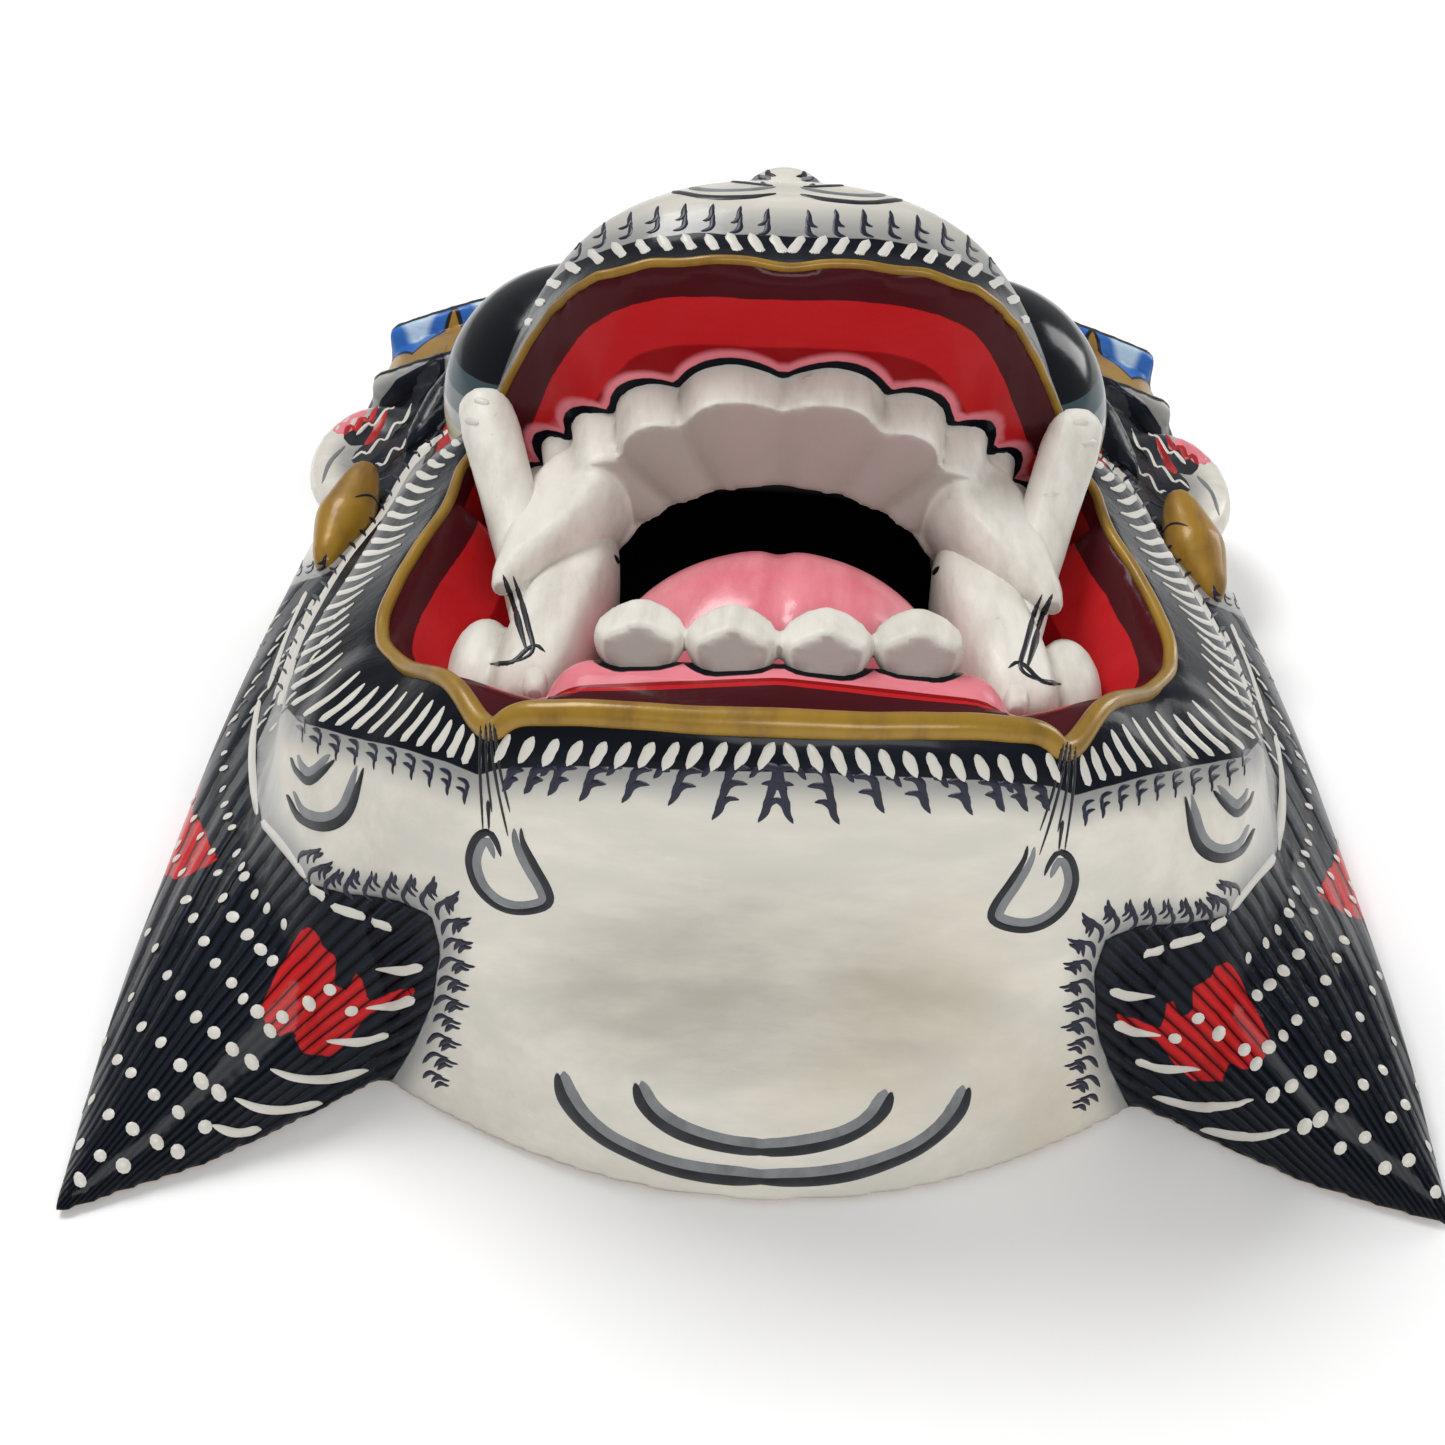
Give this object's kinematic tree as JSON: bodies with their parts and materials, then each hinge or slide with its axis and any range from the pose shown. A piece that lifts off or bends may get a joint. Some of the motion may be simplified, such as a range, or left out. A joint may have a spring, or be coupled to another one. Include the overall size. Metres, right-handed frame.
{
  "type": "carved monkey king mask",
  "caption": "Hollow carved wooden face mask of a roaring monkey king, with bared fangs, bulging eyes, ears with drops, a crown band and a pointed side beard.",
  "frame": {"origin": "centre of the mask's bounding box in plan, on the plane that its back rim lies on", "axes": "+X across the face, +Y towards the crown, +Z out of the face"},
  "size_m": [0.1906, 0.2365, 0.0998],
  "materials": {
    "painted_wood": "hand painted, semi-gloss varnish, bare wood at the back"
  },
  "bodies": {
    "root": {"mask": "painted_wood"}
  },
  "joints": []
}
